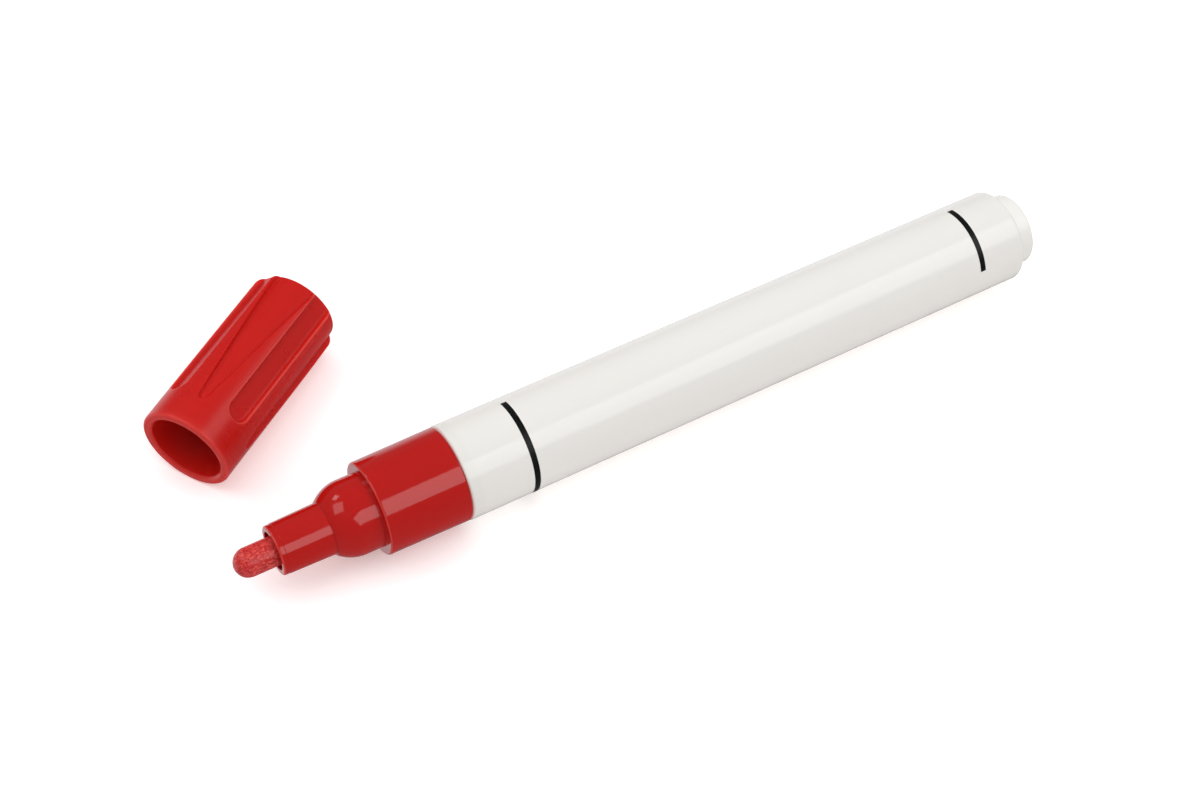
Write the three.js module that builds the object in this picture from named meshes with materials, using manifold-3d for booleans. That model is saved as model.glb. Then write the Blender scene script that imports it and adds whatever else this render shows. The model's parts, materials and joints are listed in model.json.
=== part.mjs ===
// A valve-action paint marker lying on a table with its cap pulled off and laid beside the nib.
// Millimetres, +Z up. The marker's axis lies along X, nib towards -X and tail towards +X.
//
// Every piece is turned about its own Y axis first. In the marker's group y is the station along the
// marker: 0 at the barrel's front lip, negative towards the nib, positive towards the tail.
// In the cap's group y is the depth from the cap's mouth towards its closed end.

import * as THREE from 'three';
import { mergeVertices } from 'three/addons/utils/BufferGeometryUtils.js';
import Module from 'manifold-3d';

const wasm = await Module();
wasm.setup();

// Roundness of the turned pieces
const SEGMENTS = 48;
const ARC_STEPS = 5;
const NIB_ARC_STEPS = 8;
const END_ARC_STEPS = 8;
const RECESS_ARC_STEPS = 6;
const RECESS_ROWS = 6;
const RECESS_COLUMNS = 8;
const BALL_SIDES = 24;
const BALL_RINGS = 16;

// Points nearer than this are one point, and cutters stand out this far past what they cut.
const MERGE_DISTANCE = 1e-5;
const OVERCUT = 1.0;

// Clearances
const PRESS_FIT = 0.1;
const SEAT_GAP = 0.1;
const RUNNING_FIT = 0.1;
const CAP_FIT = 0.1;

// Barrel: a plastic tube, its rear edge turned in over the tail plug
const BARREL_DIAMETER = 15.0;
const BARREL_WALL = 1.0;
const BARREL_LENGTH = 100.0;
const BARREL_LIP_ROUND = 0.4;
const BARREL_LIP_CHAMFER = 0.3;
const SHOULDER_ROUND = 1.5;
const SHOULDER_WALL = 1.1;

// Tail plug: a flange held inside the barrel and a knob that the cap is pushed onto while writing
const KNOB_LENGTH = 3.3;
const KNOB_ROUND = 1.0;
const KNOB_UNDERSIZE = 0.05;
const PLUG_FLANGE_LENGTH = 6.8;
const PLUG_WALL = 1.2;
const PLUG_END_WALL = 1.5;

// Cap: a shell with a soft inner seal. Its length follows the nose that it covers.
const NIB_HEADROOM = 7.2;
const CAP_UNDERSIZE = 0.1;
const CAP_WALL = 1.45;
const CAP_END_WALL = 1.5;
const CAP_MOUTH_ROUND = 0.45;
const CAP_LEAD_IN = 0.35;
const CAP_END_ROUND = 2.1;
const INNER_SEAL_WALL = 1.0;
const INNER_SEAL_MARGIN = 1.0;

// Grip of the cap: straight recesses and tapered ones in turn, with a narrow fin left between them
// at the closed end
const RECESS_PAIRS = 4;
const RECESS_DEPTH_AT_START = 0.7;
const RECESS_DEPTH_AT_END = 0.97;
const STRAIGHT_START = 5.4;
const STRAIGHT_WIDTH = 3.68;
const TAPERED_START = 5.0;
const TAPERED_TIP_WIDTH = 1.5;
const FIN_WIDTH = 0.16;
const GRIP_TURN = THREE.MathUtils.degToRad(1.25);

// Front section: one moulding with the spigot, collar, neck, dome and nose tube
const COLLAR_LENGTH = 13.2;
const COLLAR_STEP = 0.08;
const COLLAR_DRAFT = 0.12;
const COLLAR_ROUND = 0.35;
const COLLAR_END_WALL = 5.2;
const NECK_LENGTH = 2.8;
const DOME_LENGTH = 4.2;
const DOME_STEP = 0.16;
const TUBE_LENGTH = 8.2;
const TUBE_DRAFT = 0.15;
const TUBE_WALL = 1.2;
const RIM_BAND = 0.9;
const RIM_CHAMFER = 0.3;
const RIM_STEP = 0.06;
const SPIGOT_LENGTH = 12.0;
const SPIGOT_WALL = 1.4;
const SPIGOT_CHAMFER = 0.6;

// Nib and the ribbed channel that guides it, over its whole travel
const NIB_DIAMETER = 4.5;
const NIB_EXPOSED = 6.1;
const NIB_TAIL_CHAMFER = 0.5;
const NIB_TAIL_MARGIN = 1.5;
const CHANNEL_GROOVES = 6;
const GROOVE_DEPTH = 0.5;
const GROOVE_WIDTH = 1.5;
const CHANNEL_MOUTH_DEPTH = 1.6;
const CHANNEL_MOUTH_RELIEF = 0.1;

// Valve: the nib pushes the plunger off its seat against a spring
const VALVE_TRAVEL = 2.0;
const SEAT_THICKNESS = 3.0;
const SEAT_CONE_DEPTH = 1.2;
const PIN_RADIUS = 0.8;
const SEAT_PASSAGE = 0.6;
const SEAT_OVERLAP = 0.8;
const HEAD_THICKNESS = 1.2;
const CAGE_LENGTH = 11.0;
const CAGE_WALL = 1.0;
const CAGE_END_WALL = 1.2;
const CAGE_SLOTS = 4;
const CAGE_SLOT_WIDTH = 1.4;
const CAGE_SLOT_MARGIN = 0.6;
const STEM_OVERRUN = 0.6;
const WIRE_RADIUS = 0.2;
const SPRING_TURNS = 6;
const SPRING_CLEARANCE = 0.5;
const SPRING_STEPS_PER_TURN = 12;
const WIRE_SIDES = 6;

// Steel ball that stirs the paint
const BALL_DIAMETER = 6.0;
const BALL_STATION = 45.0;

// Where the cap lies: its mouth, measured from the barrel's lip, and its heading
const CAP_MOUTH_X = -32.3;
const CAP_MOUTH_Y = 21.7;
const CAP_HEADING = THREE.MathUtils.degToRad(32.1);

// Radii that follow from the driving sizes
const barrelRadius = BARREL_DIAMETER / 2;
const boreRadius = barrelRadius - BARREL_WALL;
const capRadius = barrelRadius - CAP_UNDERSIZE;
const capBoreRadius = capRadius - CAP_WALL;
const neckRadius = capBoreRadius - CAP_FIT;
const knobRadius = neckRadius - KNOB_UNDERSIZE;
const spigotRadius = boreRadius - PRESS_FIT;
const chamberRadius = spigotRadius - SPIGOT_WALL;
const nibRadius = NIB_DIAMETER / 2;
const channelRadius = nibRadius + RUNNING_FIT;
const grooveRadius = channelRadius + GROOVE_DEPTH;
const channelMouthRadius = grooveRadius + CHANNEL_MOUTH_RELIEF;
const tubeRearRadius = grooveRadius + TUBE_WALL;
const tubeFrontRadius = tubeRearRadius - TUBE_DRAFT;
const seatBoreRadius = PIN_RADIUS + SEAT_PASSAGE;
const headRadius = seatBoreRadius + SEAT_OVERLAP;
const coilRadius = headRadius - WIRE_RADIUS - RUNNING_FIT;
const stemRadius = coilRadius - WIRE_RADIUS - SPRING_CLEARANCE;
const cageRadius = chamberRadius - PRESS_FIT;
const cageInnerRadius = cageRadius - CAGE_WALL;
const sealBoreRadius = tubeRearRadius + CAP_FIT;
const sealRadius = sealBoreRadius + INNER_SEAL_WALL;
const ballRadius = BALL_DIAMETER / 2;

// Stations along the marker that follow from the driving sizes
const collarFront = -COLLAR_LENGTH;
const neckFront = collarFront - NECK_LENGTH;
const domeFront = neckFront - DOME_LENGTH;
const rim = domeFront - TUBE_LENGTH;
const nibTip = rim - NIB_EXPOSED;
const chamberFront = collarFront + COLLAR_END_WALL;
const nibRear = chamberFront - VALVE_TRAVEL - NIB_TAIL_MARGIN;
const seatFront = chamberFront + SEAT_GAP;
const seatRear = seatFront + SEAT_THICKNESS;
const cageFront = seatRear + SEAT_GAP;
const cageRear = cageFront + CAGE_LENGTH;
const headRear = seatRear + HEAD_THICKNESS;
const springRear = cageRear - CAGE_END_WALL - SEAT_GAP;
const plugShoulder = BARREL_LENGTH - SHOULDER_WALL - SEAT_GAP;
const plugFront = plugShoulder - PLUG_FLANGE_LENGTH;
const knobEnd = BARREL_LENGTH + KNOB_LENGTH;

// Depths in the cap that follow from the nose
const sealMouth = NECK_LENGTH + DOME_LENGTH + INNER_SEAL_MARGIN;
const sealFloor = collarFront - nibTip + NIB_HEADROOM;
const capFloor = sealFloor + INNER_SEAL_WALL + SEAT_GAP;
const capLength = capFloor + CAP_END_WALL;

// Materials
function plastic(color, roughness) {
  return new THREE.MeshStandardMaterial({ color, roughness, metalness: 0 });
}

function metal(color, roughness) {
  return new THREE.MeshStandardMaterial({ color, roughness, metalness: 1 });
}

const OFF_WHITE = 0xece9e3;
const RED = 0xc41c1a;
const DARK_RED = 0xa11a1f;
const NATURAL_WHITE = 0xe6e6e0;
const STEEL = 0xb9bcc0;

// Profile points are [radius, station]. A profile runs up the outside and down the inside.
function turned(profile) {
  const points = profile.map(([r, y]) => new THREE.Vector2(r, y));
  return new THREE.LatheGeometry(points, SEGMENTS);
}

function closedTurned(profile) {
  return turned([...profile, profile[0]]);
}

// Points on a circle about [r, y], from one angle to another in degrees, 0 pointing away from the axis
function arc(r, y, radius, fromDegrees, toDegrees, steps = ARC_STEPS) {
  const points = [];
  for (let i = 0; i <= steps; i += 1) {
    const angle = THREE.MathUtils.degToRad(fromDegrees + ((toDegrees - fromDegrees) * i) / steps);
    points.push([r + radius * Math.cos(angle), y + radius * Math.sin(angle)]);
  }
  return points;
}

function toManifold(geometry) {
  const bare = geometry.clone();
  bare.deleteAttribute('normal');
  bare.deleteAttribute('uv');
  const merged = mergeVertices(bare, MERGE_DISTANCE);
  const triangles = [];
  const index = merged.index.array;
  for (let i = 0; i < index.length; i += 3) {
    const [a, b, c] = [index[i], index[i + 1], index[i + 2]];
    if (a !== b && b !== c && c !== a) triangles.push(a, b, c);
  }
  const mesh = new wasm.Mesh({
    numProp: 3,
    vertProperties: new Float32Array(merged.attributes.position.array),
    triVerts: new Uint32Array(triangles),
  });
  return new wasm.Manifold(mesh);
}

function fromManifold(solid) {
  const mesh = solid.getMesh();
  const geometry = new THREE.BufferGeometry();
  geometry.setAttribute('position', new THREE.BufferAttribute(mesh.vertProperties, mesh.numProp));
  geometry.setIndex(new THREE.BufferAttribute(mesh.triVerts, 1));
  geometry.computeVertexNormals();
  return geometry;
}

function cutAway(geometry, cutters) {
  let solid = toManifold(geometry);
  for (const cutter of cutters) solid = solid.subtract(toManifold(cutter));
  return fromManifold(solid);
}

// Copies of a cutter, spaced evenly about the axis
function around(count, firstTurn, makeCutter) {
  const cutters = [];
  for (let i = 0; i < count; i += 1) {
    const cutter = makeCutter();
    cutter.rotateY(firstTurn + (i * 2 * Math.PI) / count);
    cutters.push(cutter);
  }
  return cutters;
}

function piece(name, geometry, material) {
  const mesh = new THREE.Mesh(geometry, material);
  mesh.name = name;
  return mesh;
}

// The tube that holds the paint, with a rounded front lip and a turned-in rear edge
function barrel() {
  const holeRadius = knobRadius + PRESS_FIT;
  const profile = [
    [boreRadius + BARREL_LIP_CHAMFER, 0],
    ...arc(barrelRadius - BARREL_LIP_ROUND, BARREL_LIP_ROUND, BARREL_LIP_ROUND, -90, 0),
    ...arc(barrelRadius - SHOULDER_ROUND, BARREL_LENGTH - SHOULDER_ROUND, SHOULDER_ROUND, 0, 90),
    [holeRadius, BARREL_LENGTH],
    [holeRadius, BARREL_LENGTH - SHOULDER_WALL],
    [boreRadius, BARREL_LENGTH - SHOULDER_WALL],
    [boreRadius, BARREL_LIP_CHAMFER],
  ];
  return piece('barrel', closedTurned(profile), plastic(OFF_WHITE, 0.3));
}

// The stopper at the tail, cored out from the paint side
function tailPlug() {
  const flangeRadius = boreRadius - PRESS_FIT;
  const coreRadius = knobRadius - PLUG_WALL;
  const profile = [
    [0, knobEnd - PLUG_END_WALL],
    [coreRadius, knobEnd - PLUG_END_WALL],
    [coreRadius, plugFront],
    [flangeRadius, plugFront],
    [flangeRadius, plugShoulder],
    [knobRadius, plugShoulder],
    ...arc(knobRadius - KNOB_ROUND, knobEnd - KNOB_ROUND, KNOB_ROUND, 0, 90),
    [0, knobEnd],
  ];
  return piece('tail_plug', turned(profile), plastic(OFF_WHITE, 0.32));
}

// The red moulding. Its spigot presses into the barrel and its nose tube carries the nib.
function frontSection() {
  const collarRearRadius = barrelRadius - COLLAR_STEP;
  const collarFrontRadius = collarRearRadius - COLLAR_DRAFT;
  const domeDrop = neckRadius - tubeRearRadius - DOME_STEP;
  const domeRadius = (DOME_LENGTH ** 2 + domeDrop ** 2) / (2 * domeDrop);
  const domeAngle = THREE.MathUtils.radToDeg(Math.asin(DOME_LENGTH / domeRadius));
  const profile = [
    [channelMouthRadius, rim],
    [tubeFrontRadius - RIM_STEP - RIM_CHAMFER, rim],
    [tubeFrontRadius - RIM_STEP, rim + RIM_CHAMFER],
    [tubeFrontRadius - RIM_STEP, rim + RIM_BAND],
    [tubeFrontRadius, rim + RIM_BAND + RIM_STEP],
    [tubeRearRadius, domeFront],
    ...arc(neckRadius - domeRadius, neckFront, domeRadius, -domeAngle, 0),
    [neckRadius, collarFront],
    ...arc(collarFrontRadius - COLLAR_ROUND, collarFront + COLLAR_ROUND, COLLAR_ROUND, -90, 0),
    [collarRearRadius, -SEAT_GAP],
    [spigotRadius, -SEAT_GAP],
    [spigotRadius, SPIGOT_LENGTH - SPIGOT_CHAMFER],
    [spigotRadius - SPIGOT_CHAMFER, SPIGOT_LENGTH],
    [chamberRadius, SPIGOT_LENGTH],
    [chamberRadius, chamberFront],
    [channelRadius, chamberFront],
    [channelRadius, rim + CHANNEL_MOUTH_DEPTH],
    [channelMouthRadius, rim + CHANNEL_MOUTH_DEPTH],
  ];
  const grooveStart = rim + CHANNEL_MOUTH_DEPTH - SEAT_GAP;
  const grooveEnd = chamberFront + SEAT_GAP;
  const grooves = around(CHANNEL_GROOVES, 0, () => {
    const grooveLength = grooveEnd - grooveStart;
    const groove = new THREE.BoxGeometry(GROOVE_WIDTH, grooveLength, grooveRadius - GROOVE_DEPTH);
    groove.translate(0, (grooveStart + grooveEnd) / 2, (grooveRadius + GROOVE_DEPTH) / 2);
    return groove;
  });
  return piece('front_section', cutAway(closedTurned(profile), grooves), plastic(RED, 0.22));
}

// The bullet nib, a rod of bonded fibre
function nib() {
  const profile = [
    [0, nibTip],
    ...arc(0, nibTip + nibRadius, nibRadius, -90, 0, NIB_ARC_STEPS).slice(1),
    [nibRadius, nibRear - NIB_TAIL_CHAMFER],
    [nibRadius - NIB_TAIL_CHAMFER, nibRear],
    [0, nibRear],
  ];
  return piece('nib', turned(profile), plastic(DARK_RED, 0.85));
}

// The soft ring that the plunger's cone closes on
function valveSeat() {
  const seatRadius = chamberRadius - PRESS_FIT;
  const profile = [
    [seatBoreRadius, seatFront],
    [seatRadius, seatFront],
    [seatRadius, seatRear],
    [headRadius, seatRear],
    [seatBoreRadius, seatRear - SEAT_CONE_DEPTH],
  ];
  return piece('valve_seat', closedTurned(profile), plastic(NATURAL_WHITE, 0.5));
}

// The plunger: a pin that meets the nib, a cone, a head that the spring pushes and a guided stem
function valvePlunger() {
  const pinFront = nibRear + SEAT_GAP;
  const stemRear = cageRear + STEM_OVERRUN;
  const coneFront = seatRear - SEAT_CONE_DEPTH + SEAT_GAP;
  const profile = [
    [0, pinFront],
    [PIN_RADIUS, pinFront],
    [PIN_RADIUS, coneFront],
    [seatBoreRadius - SEAT_GAP, coneFront],
    [headRadius - SEAT_GAP, seatRear],
    [headRadius, seatRear + SEAT_GAP],
    [headRadius, headRear],
    [stemRadius, headRear],
    [stemRadius, stemRear],
    [0, stemRear],
  ];
  return piece('valve_plunger', turned(profile), plastic(NATURAL_WHITE, 0.4));
}

// The cage that holds the spring and guides the stem. Paint passes the slots in its end wall.
function valveCage() {
  const guideRadius = stemRadius + RUNNING_FIT;
  const profile = [
    [cageInnerRadius, cageFront],
    [cageRadius, cageFront],
    [cageRadius, cageRear],
    [guideRadius, cageRear],
    [guideRadius, cageRear - CAGE_END_WALL],
    [cageInnerRadius, cageRear - CAGE_END_WALL],
  ];
  const slotInner = guideRadius + CAGE_SLOT_MARGIN;
  const slotLength = cageInnerRadius - slotInner;
  const slots = around(CAGE_SLOTS, 0, () => {
    const slot = new THREE.BoxGeometry(CAGE_SLOT_WIDTH, CAGE_END_WALL + 2 * OVERCUT, slotLength);
    slot.translate(0, cageRear - CAGE_END_WALL / 2, slotInner + slotLength / 2);
    return slot;
  });
  return piece('valve_cage', cutAway(closedTurned(profile), slots), plastic(NATURAL_WHITE, 0.45));
}

class Helix extends THREE.Curve {
  constructor(radius, start, end, turns) {
    super();
    this.radius = radius;
    this.start = start;
    this.end = end;
    this.turns = turns;
  }

  getPoint(t, target = new THREE.Vector3()) {
    const angle = 2 * Math.PI * this.turns * t;
    const y = this.start + (this.end - this.start) * t;
    return target.set(this.radius * Math.cos(angle), y, this.radius * Math.sin(angle));
  }
}

// The stainless spring around the stem, between the plunger's head and the cage's end wall
function valveSpring() {
  const wire = new THREE.Shape();
  for (let i = 0; i < WIRE_SIDES; i += 1) {
    const angle = (2 * Math.PI * i) / WIRE_SIDES;
    const x = WIRE_RADIUS * Math.cos(angle);
    const y = WIRE_RADIUS * Math.sin(angle);
    if (i === 0) wire.moveTo(x, y);
    else wire.lineTo(x, y);
  }
  wire.closePath();
  const start = headRear + SEAT_GAP + WIRE_RADIUS;
  const end = springRear - WIRE_RADIUS;
  const path = new Helix(coilRadius, start, end, SPRING_TURNS);
  const geometry = new THREE.ExtrudeGeometry(wire, {
    steps: SPRING_TURNS * SPRING_STEPS_PER_TURN,
    extrudePath: path,
  });
  return piece('valve_spring', geometry, metal(STEEL, 0.3));
}

// The ball lies on the bottom of the barrel's bore
function mixingBall() {
  const sphere = new THREE.SphereGeometry(ballRadius, BALL_SIDES, BALL_RINGS);
  const mesh = piece('mixing_ball', sphere, metal(STEEL, 0.2));
  mesh.position.set(0, BALL_STATION, ballRadius + RUNNING_FIT - boreRadius);
  return mesh;
}

// Depth and half width, measured round the surface, of a recess that starts with a half circle and
// runs out through the closed end with straight sides
function recessOutline(start, startHalfWidth, endHalfWidth) {
  const rows = [];
  for (let i = 0; i <= RECESS_ARC_STEPS; i += 1) {
    const angle = (Math.PI / 2) * (i / RECESS_ARC_STEPS);
    const depth = start + startHalfWidth * (1 - Math.cos(angle));
    rows.push([depth, startHalfWidth * Math.sin(angle)]);
  }
  const sideStart = start + startHalfWidth;
  const widening = (endHalfWidth - startHalfWidth) / (capLength - sideStart);
  const sideLength = capLength + OVERCUT - sideStart;
  for (let i = 1; i <= RECESS_ROWS; i += 1) {
    const along = (sideLength * i) / RECESS_ROWS;
    rows.push([sideStart + along, startHalfWidth + widening * along]);
  }
  return rows;
}

// A recess is cut by a curved block between its round floor and the air outside. Its side walls
// stand on radii, and its floor sinks slowly towards the closed end.
function recessCutter(outline) {
  const outerRadius = capRadius + OVERCUT;
  const sinking = (RECESS_DEPTH_AT_END - RECESS_DEPTH_AT_START) / (capLength - outline[0][0]);
  const ringLength = 2 * (RECESS_COLUMNS + 1);
  const positions = [];
  outline.forEach(([depth, halfWidth]) => {
    const floorRadius = capRadius - RECESS_DEPTH_AT_START - sinking * (depth - outline[0][0]);
    for (let i = 0; i < ringLength; i += 1) {
      const isOuter = i <= RECESS_COLUMNS;
      const radius = isOuter ? outerRadius : floorRadius;
      const column = isOuter ? i : ringLength - 1 - i;
      const angle = (halfWidth / capRadius) * ((2 * column) / RECESS_COLUMNS - 1);
      positions.push(radius * Math.sin(angle), depth, radius * Math.cos(angle));
    }
  });
  const triangles = [];
  for (let row = 1; row < outline.length; row += 1) {
    for (let i = 0; i < ringLength; i += 1) {
      const next = (i + 1) % ringLength;
      const [a, b] = [(row - 1) * ringLength + i, (row - 1) * ringLength + next];
      triangles.push(a, b, a + ringLength, b, b + ringLength, a + ringLength);
    }
  }
  const last = (outline.length - 1) * ringLength;
  for (let i = 0; i < RECESS_COLUMNS; i += 1) {
    const across = ringLength - 1 - i;
    triangles.push(i, across, i + 1, across, across - 1, i + 1);
    triangles.push(last + i, last + i + 1, last + across);
    triangles.push(last + i + 1, last + across - 1, last + across);
  }
  const geometry = new THREE.BufferGeometry();
  geometry.setAttribute('position', new THREE.Float32BufferAttribute(positions, 3));
  geometry.setIndex(triangles);
  return geometry;
}

// The outer shell. The nose's neck fits its mouth, and a narrower pocket holds the seal.
function capShell() {
  const pocketRadius = sealRadius + PRESS_FIT;
  const rimRadius = capRadius - CAP_MOUTH_ROUND;
  const endRadius = capRadius - CAP_END_ROUND;
  const profile = [
    [0, capFloor],
    [pocketRadius, capFloor],
    [pocketRadius, sealMouth],
    [capBoreRadius, sealMouth],
    [capBoreRadius, CAP_LEAD_IN],
    [capBoreRadius + CAP_LEAD_IN, 0],
    ...arc(rimRadius, CAP_MOUTH_ROUND, CAP_MOUTH_ROUND, -90, 0),
    ...arc(endRadius, capLength - CAP_END_ROUND, CAP_END_ROUND, 0, 90, END_ARC_STEPS),
    [0, capLength],
  ];
  const halfPitch = Math.PI / RECESS_PAIRS;
  const straightHalfWidth = STRAIGHT_WIDTH / 2;
  const taperedEndHalfWidth = halfPitch * capRadius - straightHalfWidth - FIN_WIDTH;
  const straight = recessOutline(STRAIGHT_START, straightHalfWidth, straightHalfWidth);
  const tapered = recessOutline(TAPERED_START, TAPERED_TIP_WIDTH / 2, taperedEndHalfWidth);
  const cutters = [
    ...around(RECESS_PAIRS, GRIP_TURN, () => recessCutter(tapered)),
    ...around(RECESS_PAIRS, GRIP_TURN + halfPitch, () => recessCutter(straight)),
  ];
  return piece('cap_shell', cutAway(turned(profile), cutters), plastic(RED, 0.35));
}

// The soft cup inside the cap that closes over the nose tube and keeps the nib wet
function capInnerSeal() {
  const mouth = sealMouth + SEAT_GAP;
  const back = sealFloor + INNER_SEAL_WALL;
  const profile = [
    [0, sealFloor],
    [sealBoreRadius, sealFloor],
    [sealBoreRadius, mouth],
    [sealRadius, mouth],
    [sealRadius, back],
    [0, back],
  ];
  return piece('cap_inner_seal', turned(profile), plastic(NATURAL_WHITE, 0.5));
}

const marker = new THREE.Group();
marker.add(barrel(), tailPlug(), frontSection(), nib());
marker.add(valveSeat(), valvePlunger(), valveSpring(), valveCage(), mixingBall());
marker.rotation.z = -Math.PI / 2;
marker.position.z = barrelRadius;

const cap = new THREE.Group();
cap.add(capShell(), capInnerSeal());
cap.rotation.z = CAP_HEADING - Math.PI / 2;
cap.position.set(CAP_MOUTH_X, CAP_MOUTH_Y, capRadius);

// The origin is on the table, under the centre of the box around everything.
const group = new THREE.Group();
group.add(marker, cap);
group.updateMatrixWorld(true);
const box = new THREE.Box3().setFromObject(group, true);
const centre = box.getCenter(new THREE.Vector3());
group.position.set(-centre.x, -centre.y, -box.min.z);

export default group;
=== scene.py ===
# %% [markdown]
# # A paint marker with its cap pulled off
# The marker lies on a white table with its red cap beside the nib. Every solid was designed first, in
# millimetres, so this script only dresses that fixed frame: finer meshes, finishes, light and a camera.
# The frame is loaded before anything else, and its box is kept so that the looks can be held to it.

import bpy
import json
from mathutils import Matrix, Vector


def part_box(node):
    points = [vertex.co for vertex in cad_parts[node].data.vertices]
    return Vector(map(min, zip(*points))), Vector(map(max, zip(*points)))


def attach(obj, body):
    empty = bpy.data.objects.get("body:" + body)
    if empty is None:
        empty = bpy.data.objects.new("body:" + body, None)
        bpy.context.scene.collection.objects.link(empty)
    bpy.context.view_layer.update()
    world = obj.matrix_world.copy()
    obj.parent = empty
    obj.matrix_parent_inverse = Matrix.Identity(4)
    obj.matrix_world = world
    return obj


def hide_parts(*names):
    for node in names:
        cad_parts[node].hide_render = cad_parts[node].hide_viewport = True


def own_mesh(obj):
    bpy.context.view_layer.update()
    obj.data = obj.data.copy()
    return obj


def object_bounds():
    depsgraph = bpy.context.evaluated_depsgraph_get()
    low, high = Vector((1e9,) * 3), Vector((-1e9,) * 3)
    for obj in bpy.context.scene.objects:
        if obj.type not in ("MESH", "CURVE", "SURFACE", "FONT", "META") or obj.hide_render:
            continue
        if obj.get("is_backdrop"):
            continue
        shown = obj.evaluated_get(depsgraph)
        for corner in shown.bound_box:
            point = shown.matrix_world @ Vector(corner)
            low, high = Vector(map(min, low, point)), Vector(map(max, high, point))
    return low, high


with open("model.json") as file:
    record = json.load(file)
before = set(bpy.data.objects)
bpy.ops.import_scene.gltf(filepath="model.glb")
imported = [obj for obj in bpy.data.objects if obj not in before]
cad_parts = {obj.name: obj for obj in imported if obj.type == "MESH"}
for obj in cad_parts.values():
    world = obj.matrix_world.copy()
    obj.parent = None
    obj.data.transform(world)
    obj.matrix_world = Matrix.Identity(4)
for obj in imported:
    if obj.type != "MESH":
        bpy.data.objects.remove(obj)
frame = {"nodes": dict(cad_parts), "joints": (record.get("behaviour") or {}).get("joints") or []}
cad_box = [list(corner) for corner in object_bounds()]
print("CAD nodes:", ", ".join(sorted(frame["nodes"])))

# %% Other modules
import json
import math
from collections import namedtuple

import bmesh
import bpy
import numpy as np
from mathutils import Matrix, Vector, noise

scene = bpy.context.scene
print("Blender", bpy.app.version_string)

# %% [markdown]
# ## Two axes to build round
# Nearly every piece of a pen is round, so a piece is described as it would be on a lathe: an angle round
# the axis, a radius, and a distance along it. The marker's distances start at the front lip of its
# barrel and the cap's at its mouth. Angle 0 is straight up, and angles grow towards the camera. Both
# axes come from the frame: one from the barrel's box, the other from the joint that the cap slides on.

# %% The marker's axis and the cap's
MM = 0.001
UP = np.array([0.0, 0.0, 1.0])
BARREL_RADIUS, CAP_RADIUS = 7.5, 7.4
# How far the middle of the cap's mouth lies from that of the barrel's lip, along the marker and across.
CAP_MOUTH_FROM_LIP = (-32.3, 21.7)

Place = namedtuple("Place", "origin side along up")


def place_at(origin, along):
    along = np.array(along, float) / np.linalg.norm(along)
    return Place(np.array(origin, float), np.cross(along, UP), along, UP)


low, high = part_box("barrel")
lip = np.array([low.x, (low.y + high.y) / 2, BARREL_RADIUS * MM])
mouth = lip + MM * np.array([*CAP_MOUTH_FROM_LIP, CAP_RADIUS - BARREL_RADIUS])
pull = next(joint for joint in frame["joints"] if joint["name"] == "cap_pull")
marker = place_at(lip, (1, 0, 0))
cap = place_at(mouth, pull["axis"])
print("barrel lip, mm:", (lip / MM).round(2), " cap mouth, mm:", (mouth / MM).round(2))

# %% From lathe measures to points in the frame


def points(place, angle, radius, station):
    """Points in the frame, in metres, from angles in radians and millimetres."""
    angle, radius, station = np.broadcast_arrays(angle, radius, station)
    across = np.multiply.outer(radius * np.sin(angle), place.side)
    over = np.multiply.outer(radius * np.cos(angle), place.up)
    return place.origin + MM * (across + over + np.multiply.outer(station, place.along))


print("top of the lip, mm:", (points(marker, 0, BARREL_RADIUS, 0) / MM).round(2))

# %% [markdown]
# ## Profiles with real corners
# No moulded edge is sharp: the mould's corner has a radius, and that radius is what catches the light.
# A profile is therefore a list of corners, each with its own rounding. Long straight runs get an extra
# point close to each end, so that smooth shading stays flat between them and bends only at the corner.

# %% Rounded profiles
ARC_TURN = math.radians(10)
HOLD = 0.12
LONG_RUN = 4 * HOLD


def rounded(corners, closed):
    """Profile points in millimetres from corners given as (radius, station, rounding)."""
    spots = [np.array(corner[:2], float) for corner in corners]
    result = []
    for i, (spot, corner) in enumerate(zip(spots, corners)):
        if corner[2] == 0 or (not closed and i in (0, len(spots) - 1)):
            result.append(spot)
            continue
        back, ahead = spots[i - 1] - spot, spots[(i + 1) % len(spots)] - spot
        back, ahead = back / np.linalg.norm(back), ahead / np.linalg.norm(ahead)
        bend = math.pi - math.acos(np.clip(back @ ahead, -1, 1))
        reach = corner[2] * math.tan(bend / 2)
        middle = (back + ahead) / np.linalg.norm(back + ahead)
        centre = spot + middle * corner[2] / math.cos(bend / 2)
        first, last = spot + back * reach - centre, spot + ahead * reach - centre
        for t in np.linspace(0, 1, max(2, math.ceil(bend / ARC_TURN)) + 1):
            turned_to = math.sin((1 - t) * bend) * first + math.sin(t * bend) * last
            result.append(centre + turned_to / math.sin(bend))
    return held(result, closed)


def held(spots, closed):
    """The same profile with a point HOLD away from each end of its long runs."""
    result = []
    following = spots[1:] + spots[:1] if closed else spots[1:]
    for a, b in zip(spots, following):
        run = np.linalg.norm(b - a)
        result.append(a)
        if run > LONG_RUN:
            result += [a + (b - a) * HOLD / run, b + (a - b) * HOLD / run]
    return np.array(result if closed else result + [spots[-1]])


print("one rounded corner takes", len(rounded([(0, 0, 0), (2, 0, 0.3), (2, 2, 0)], False)), "points")
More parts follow.
